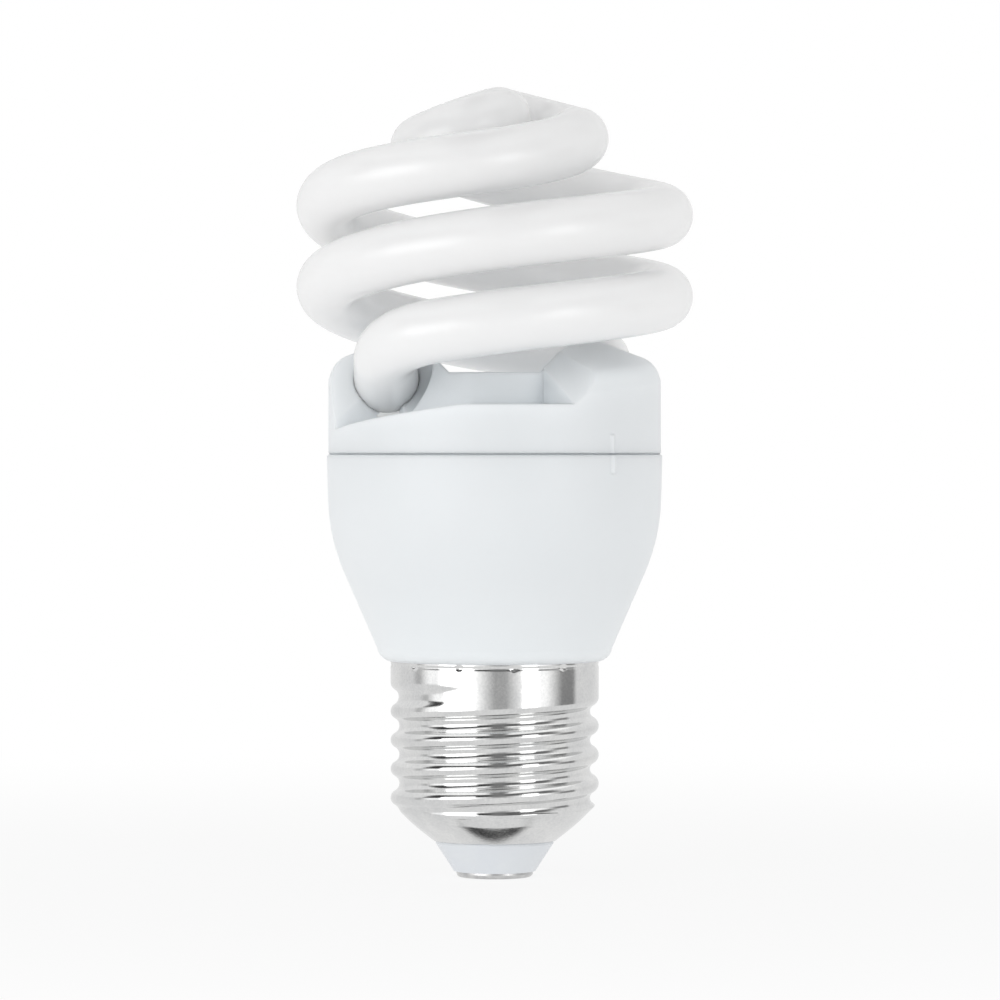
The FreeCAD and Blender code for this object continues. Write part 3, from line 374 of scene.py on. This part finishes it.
def speckled(name, low, high, scale, roughness, depth, **constants):
    """A material that drifts between two colours, given with its shader, its coordinates and its colour."""
    material, shader, place = new_finish(name, **constants)
    drift = cloudy(place, scale=scale, detail=4.0)
    tint = tinted(drift, low, high)
    feed(shader, Base_Color=tint, Roughness=roughness + drift * 0.15,
         Normal=relief(drift, strength=depth, distance=0.0001))
    return Finish(material, shader, place, tint)


cement = speckled("mineral_cement", low=(0.80, 0.80, 0.79), high=(0.88, 0.88, 0.87),
                  scale=900.0, roughness=0.75, depth=0.5)
dress("tube_cement", cement.material)

# Circuit board: a round board of brown paper laminate, clamped between the housing's ribs and the cover.
# Its upper side carries printed copper tracks.
COPPER = (0.60, 0.27, 0.12)
TRACK_SIDE = 0.05055
TRACK_SCALE = 230.0
TRACK_GAP = 0.16


def axis(place, name):
    return place.node("ShaderNodeSeparateXYZ", {}, {"Vector": place}, name)


def painted(tint, mask, colour):
    """A colour laid over another where a mask is one."""
    sockets = {"Factor": mask, 6: tint, 7: (*colour, 1)}
    return tint.node("ShaderNodeMix", {"data_type": "RGBA"}, sockets, 2)


board = speckled("paper_laminate", low=(0.34, 0.20, 0.09), high=(0.46, 0.29, 0.14),
                 scale=700.0, roughness=0.45, depth=0.15)
cells = board.place.node("ShaderNodeTexVoronoi", {"feature": "DISTANCE_TO_EDGE"},
                         {"Vector": board.place, "Scale": TRACK_SCALE}, "Distance")
track = (cells > TRACK_GAP) * (axis(board.place, "Z") > TRACK_SIDE)
feed(board.shader, Base_Color=painted(board.tint, track, COPPER), Metallic=track * 0.9)
dress("circuit_board", board.material)

# Smoothing capacitor: an aluminium can in a dark shrink sleeve, soldered to the board by its two pins.
# The sleeve has a pale stripe on the side of the negative pin and leaves the can's flat end bare.
TIN = (0.72, 0.72, 0.70)
STRIPE = (0.55, 0.57, 0.60)
STRIPE_X = 0.0042
SLEEVE_END = 0.0333
can = speckled("sleeved_can", low=(0.03, 0.04, 0.06), high=(0.05, 0.06, 0.09),
               scale=300.0, roughness=0.3, depth=0.1)
striped = painted(can.tint, axis(can.place, "X") > STRIPE_X, STRIPE)
bare = axis(can.place, "Z") < SLEEVE_END
feed(can.shader, Base_Color=painted(striped, bare, TIN), Metallic=bare)
dress("smoothing_capacitor", can.material)

# Ballast choke: a ferrite frame glued round a nylon bobbin, wound with enamelled copper wire.
# The turns of wire lie side by side and show as fine ridges, with painted shade in the grooves between them.
SHADE_BETWEEN_TURNS = (0.24, 0.08, 0.03)
ferrite = speckled("ferrite", low=(0.06, 0.06, 0.065), high=(0.11, 0.11, 0.115),
                   scale=1500.0, roughness=0.55, depth=0.4)
dress("ballast_choke_core", ferrite.material)
nylon = speckled("nylon_bobbin", low=(0.66, 0.64, 0.57), high=(0.72, 0.70, 0.63),
                 scale=400.0, roughness=0.4, depth=0.1, Subsurface_Weight=0.1)
dress("ballast_choke_bobbin", nylon.material)
enamel = speckled("enamelled_copper", low=(0.42, 0.16, 0.06), high=COPPER,
                  scale=500.0, roughness=0.2, depth=0.1, Metallic=0.9, Coat_Weight=0.5)
turns = enamel.place.node("ShaderNodeTexWave", {"bands_direction": "Z"},
                          {"Vector": enamel.place, "Scale": 1000.0}, "Fac")
# The grooves between the turns get a darker copper colour, as painted shade.
feed(enamel.shader,
     Base_Color=painted(enamel.tint, 1 - turns, SHADE_BETWEEN_TURNS),
     Normal=relief(turns, strength=0.6, distance=0.0001))
dress("ballast_choke_winding", enamel.material)

# Drive transformer: a small coated ferrite ring with three short windings, flat under the board.
# The windings are of the same enamelled wire as the choke's.
ring_coat = speckled("coated_ring", low=(0.05, 0.20, 0.11), high=(0.08, 0.27, 0.15),
                     scale=600.0, roughness=0.35, depth=0.2, Coat_Weight=0.3)
dress("drive_transformer_core", ring_coat.material)
dress("drive_transformer_winding", enamel.material)

# Filter inductor: a drum core and its winding in a black shrink sleeve.
# The sleeve is a plastic tube, shrunk on by heat.
sleeve = speckled("shrink_sleeve", low=(0.02, 0.02, 0.02), high=(0.045, 0.045, 0.045),
                  scale=350.0, roughness=0.4, depth=0.2)
dress("filter_inductor", sleeve.material)

# Switching transistors: two black moulded cases, each on three tinned legs soldered to the board.
# The cases hang below the board and have the dull grain of filled resin.
CASE_END = 0.0461
case = speckled("black_case", low=(0.02, 0.02, 0.022), high=(0.05, 0.05, 0.052),
                scale=1800.0, roughness=0.5, depth=0.25)
legs = axis(case.place, "Z") > CASE_END
feed(case.shader, Base_Color=painted(case.tint, legs, TIN), Metallic=legs)
dress("switching_transistors", case.material)

# Film capacitors: two blocks of wound plastic film, dipped in brown resin.
# The resin sets to a smooth, glossy skin.
film = speckled("dipped_resin", low=(0.30, 0.09, 0.04), high=(0.40, 0.13, 0.06),
                scale=500.0, roughness=0.2, depth=0.2, Coat_Weight=0.4)
dress("resonant_capacitor", film.material)
dress("blocking_capacitor", film.material)

# Axial components: diodes, resistors, trigger diode and fuse, lying against the board with bent tinned leads.
# Each has a coated body with its own colour bands.
BODY_REACH = 0.0016
LEAD_REACH = 0.0012
BODY_SLACK = 0.00002
BAND_HALF = 0.0003
BROWN = (0.25, 0.09, 0.03)
BLACK = (0.02, 0.02, 0.02)
ORANGE = (0.60, 0.20, 0.02)
GOLD = (0.55, 0.38, 0.08)
DIODE_R = 0.01595
RESISTOR_R = 0.01605


def toward(place, degrees):
    """How far a point lies in a level direction."""
    turn = math.radians(degrees)
    direction = (math.cos(turn), math.sin(turn), 0)
    return place.node("ShaderNodeVectorMath", {"operation": "DOT_PRODUCT"}, {0: place, 1: direction}, "Value")


def within(value, middle, half):
    """One where a value is no further than half a width from a middle."""
    return value.node("ShaderNodeMath", {"operation": "COMPARE"}, {0: value, 1: middle, 2: half})


def axial_coat(node, name, low, high, length, spots, bands):
    """A coat for bodies at a radius and an angle each, with bands at given distances from a body's middle."""
    coat = speckled(name, low, high, scale=900.0, roughness=0.3, depth=0.15)
    along = 0
    for radius, degrees in spots:
        near = within(toward(coat.place, degrees), radius, BODY_REACH)
        step = toward(coat.place, degrees + 90)
        along = step * near * within(step, 0, length / 2 + LEAD_REACH) + along
    tint = coat.tint
    for middle, colour in bands:
        tint = painted(tint, within(along, middle, BAND_HALF), colour)
    leads = 1 - within(along, 0, length / 2 + BODY_SLACK)
    feed(coat.shader, Base_Color=painted(tint, leads, TIN), Metallic=leads)
    dress(node, coat.material)


axial_coat("rectifier_diodes", "diode_case", low=BLACK, high=(0.05, 0.05, 0.05), length=0.0048,
           spots=[(DIODE_R, 190), (DIODE_R, 216), (DIODE_R, 242), (0.01325, 229)], bands=[(0.0017, TIN)])
axial_coat("resistors", "resistor_coat", low=(0.66, 0.50, 0.30), high=(0.74, 0.58, 0.37), length=0.0056,
           spots=[(RESISTOR_R, 50), (RESISTOR_R, 78), (RESISTOR_R, 106), (RESISTOR_R, 315)],
           bands=[(-0.0018, BROWN), (-0.0006, BLACK), (0.0006, ORANGE), (0.0018, GOLD)])
axial_coat("trigger_diode", "trigger_glass", low=(0.05, 0.13, 0.35), high=(0.09, 0.19, 0.44), length=0.0034,
           spots=[(0.0163, 130)], bands=[])
axial_coat("fuse_resistor", "fuse_coat", low=(0.12, 0.30, 0.16), high=(0.18, 0.38, 0.22), length=0.0064,
           spots=[(0.0158, 355)], bands=[(-0.0018, BROWN), (0.0, BLACK)])

# Wire pins and tube leads: square tinned posts on the board, with the tube's four leads wound to them.
# Both are bright tinned metal, a little uneven from the dipping.
tinned = speckled("tinned_metal", low=(0.58, 0.58, 0.57), high=TIN,
                  scale=1400.0, roughness=0.25, depth=0.3, Metallic=1.0)
dress("wire_pins", tinned.material)
dress("tube_lead_wires", tinned.material)

# Supply wires: a red live wire to the contact and a black neutral wire to the shell.
# Both are in soft plastic insulation and run down through the housing's neck.
live = speckled("red_insulation", low=(0.42, 0.02, 0.02), high=(0.52, 0.04, 0.03),
                scale=500.0, roughness=0.4, depth=0.15)
dress("live_wire", live.material)
neutral = speckled("black_insulation", low=(0.015, 0.015, 0.015), high=(0.04, 0.04, 0.04),
                   scale=500.0, roughness=0.4, depth=0.15)
dress("neutral_wire", neutral.material)

# Floor: a plain pale table top that lights the lamp evenly from below and isn't mirrored in the metal.
# To the camera it fades into plain white, and near the lamp it keeps the shadow.
FLOOR_SIZE = 6
FLOOR_GLOW = 0.65
SHADOW_GLOW = 0.85
SHADOW_FADE = (0.03, 0.25)


def past(value, low, high):
    """A soft step from nought to one between two values."""
    return value.node("ShaderNodeMapRange", {"interpolation_type": "SMOOTHSTEP"},
                      {"Value": value, "From Min": low, "From Max": high})


def laid(under, over, mask):
    """A level laid over another where a mask is one."""
    return under + (over - under) * mask


bpy.ops.mesh.primitive_plane_add(size=FLOOR_SIZE, location=(0, 0, 0))
floor = bpy.context.object
floor.name = "floor"
floor.visible_glossy = False
pale, shader, place = new_finish("pale_floor", Base_Color=(0.88, 0.88, 0.88, 1), Roughness=0.9)
far = place.node("ShaderNodeVectorMath", {"operation": "LENGTH"}, {0: place}, "Value")
seen_glow = SHADOW_GLOW + past(far, *SHADOW_FADE) * (1 - SHADOW_GLOW)
glow_share = laid(FLOOR_GLOW, seen_glow, place.node("ShaderNodeLightPath", {}, {}, "Is Camera Ray"))
glow = place.node("ShaderNodeEmission", {}, {})
matt = Socket(pale.node_tree, shader.outputs["BSDF"])
surface = place.node("ShaderNodeMixShader", {}, {0: glow_share, 1: matt, 2: glow})
pale.node_tree.links.new(surface.output, pale.node_tree.nodes["Material Output"].inputs["Surface"])
floor.data.materials.append(pale)

# Studio: a white surround, a little dimmer overhead, which the camera sees as plain white.
# Reflections show more in it. At eye level stand two bright boxes and two dark flags, with dark rims above the
# boxes, a bright ceiling above those, a dark slit for the camera overhead and a dark stand below.
SURROUND = 1.04
OVERHEAD_LOSS = 0.55
OVERHEAD_RISE = (0.1, 0.9)
# Each pair is a share of the way round, from the back through right, front and left, and a light level.
BOXES = ((0.0000, 0.60), (0.0350, 1.25), (0.1950, 1.25), (0.2500, 0.45), (0.2830, 0.45), (0.3440, 1.25),
         (0.4110, 1.25), (0.4720, 0.28), (0.5200, 0.28), (0.5350, 0.80), (0.7500, 0.85), (0.9650, 0.82),
         (0.9850, 0.55))
RIMS = ((0.0000, 0.45), (0.0300, 0.05), (0.2000, 0.05), (0.2300, 0.12), (0.3300, 0.15), (0.4400, 0.20),
        (0.4900, 0.85), (0.9500, 0.90))
RIMS_RISE = (0.14, 0.24)
CEILING = 1.15
CEILING_RISE = (0.62, 0.76)
TABLE = 0.85
TABLE_FALL = (0.10, 0.22)
SLIT = 0.22
SLIT_LEAN = 0.1
SLIT_OFFSET = 0.1
SLIT_EDGE = (0.08, 0.2)
SLIT_RISE = (0.05, 0.2)
SLIT_BACK = (0.2, 0.6)
STAND = 0.03
STAND_EDGE = (0.2, 0.38)
STAND_FRONT = (0.19, 0.23)
STAND_BACK = (0.3, 0.36)
STAND_FALL = (0.8, 0.9)
world = bpy.data.worlds.new("studio")
bpy.context.scene.world = world
world.use_nodes = True
place = Socket(world.node_tree, world.node_tree.nodes.new("ShaderNodeTexCoord").outputs["Generated"])
side = axis(place, "X")
back = axis(place, "Y")
rise = axis(place, "Z")
fall = 0 - rise


def by_angle(levels):
    """A light level that changes with the angle round the lamp."""
    stops = [(share, (level, level, level, 1)) for share, level in levels]
    about = place.node("ShaderNodeTexGradient", {"gradient_type": "RADIAL"}, {"Vector": place}, "Fac")
    return place.node("ShaderNodeValToRGB", {"stops": stops}, {"Fac": about}, "Color")


mirrored = laid(by_angle(BOXES), by_angle(RIMS), past(rise, *RIMS_RISE))
mirrored = laid(mirrored, CEILING, past(rise, *CEILING_RISE))
mirrored = laid(mirrored, TABLE, past(fall, *TABLE_FALL))
off_slit = abs(side + rise * SLIT_LEAN - SLIT_OFFSET)
slit = (1 - past(off_slit, *SLIT_EDGE)) * past(rise, *SLIT_RISE) * (1 - past(back, *SLIT_BACK))
mirrored = laid(mirrored, SLIT, slit)
stand = (1 - past(abs(side), *STAND_EDGE)) * past(back, *STAND_FRONT) * (1 - past(back, *STAND_BACK))
mirrored = laid(mirrored, STAND, stand * past(fall, *STAND_FALL))
strength = SURROUND - past(rise, *OVERHEAD_RISE) * OVERHEAD_LOSS
for kind, shown in (("Is Glossy Ray", mirrored), ("Is Camera Ray", 1), ("Is Transmission Ray", 1)):
    strength = laid(strength, shown, place.node("ShaderNodeLightPath", {}, {}, kind))
background = world.node_tree.nodes["Background"]
background.inputs["Color"].default_value = (1, 1, 1, 1)
world.node_tree.links.new(strength.output, background.inputs["Strength"])

# Soft boxes: two lamps low in front of the bulb, the left one wider and stronger.
# Both face the middle of the bulb.
BOX_HEIGHT = 0.4
BOX_AIM = Vector((0, 0, 0.05))


def soft_box(name, location, width, power):
    """A lamp as large as a soft box, turned to face the bulb."""
    data = bpy.data.lights.new(name, "AREA")
    data.shape = "RECTANGLE"
    data.size = width
    data.size_y = BOX_HEIGHT
    data.energy = power
    lamp = bpy.data.objects.new(name, data)
    bpy.context.scene.collection.objects.link(lamp)
    lamp.location = location
    lamp.rotation_euler = (BOX_AIM - Vector(location)).to_track_quat("-Z", "Y").to_euler()


soft_box("left_box", location=(-0.42, -0.45, 0.10), width=0.45, power=0.9)
soft_box("right_box", location=(0.40, -0.48, 0.10), width=0.2, power=0.35)

# Camera: at the height of the cover, a little to the right of the lamp's axis, with a long lens.
# It looks down by less than a degree.
LOOK_DOWN = 0.66
view = bpy.data.cameras.new("camera")
view.lens = 171.7
view.sensor_width = 36
view.clip_start = 0.01
camera = bpy.data.objects.new("camera", view)
bpy.context.scene.collection.objects.link(camera)
camera.location = (0.00067, -0.6, 0.0543)
camera.rotation_euler = (math.radians(90 - LOOK_DOWN), 0, 0)
bpy.context.scene.camera = camera
bpy.context.scene.view_settings.view_transform = "Standard"
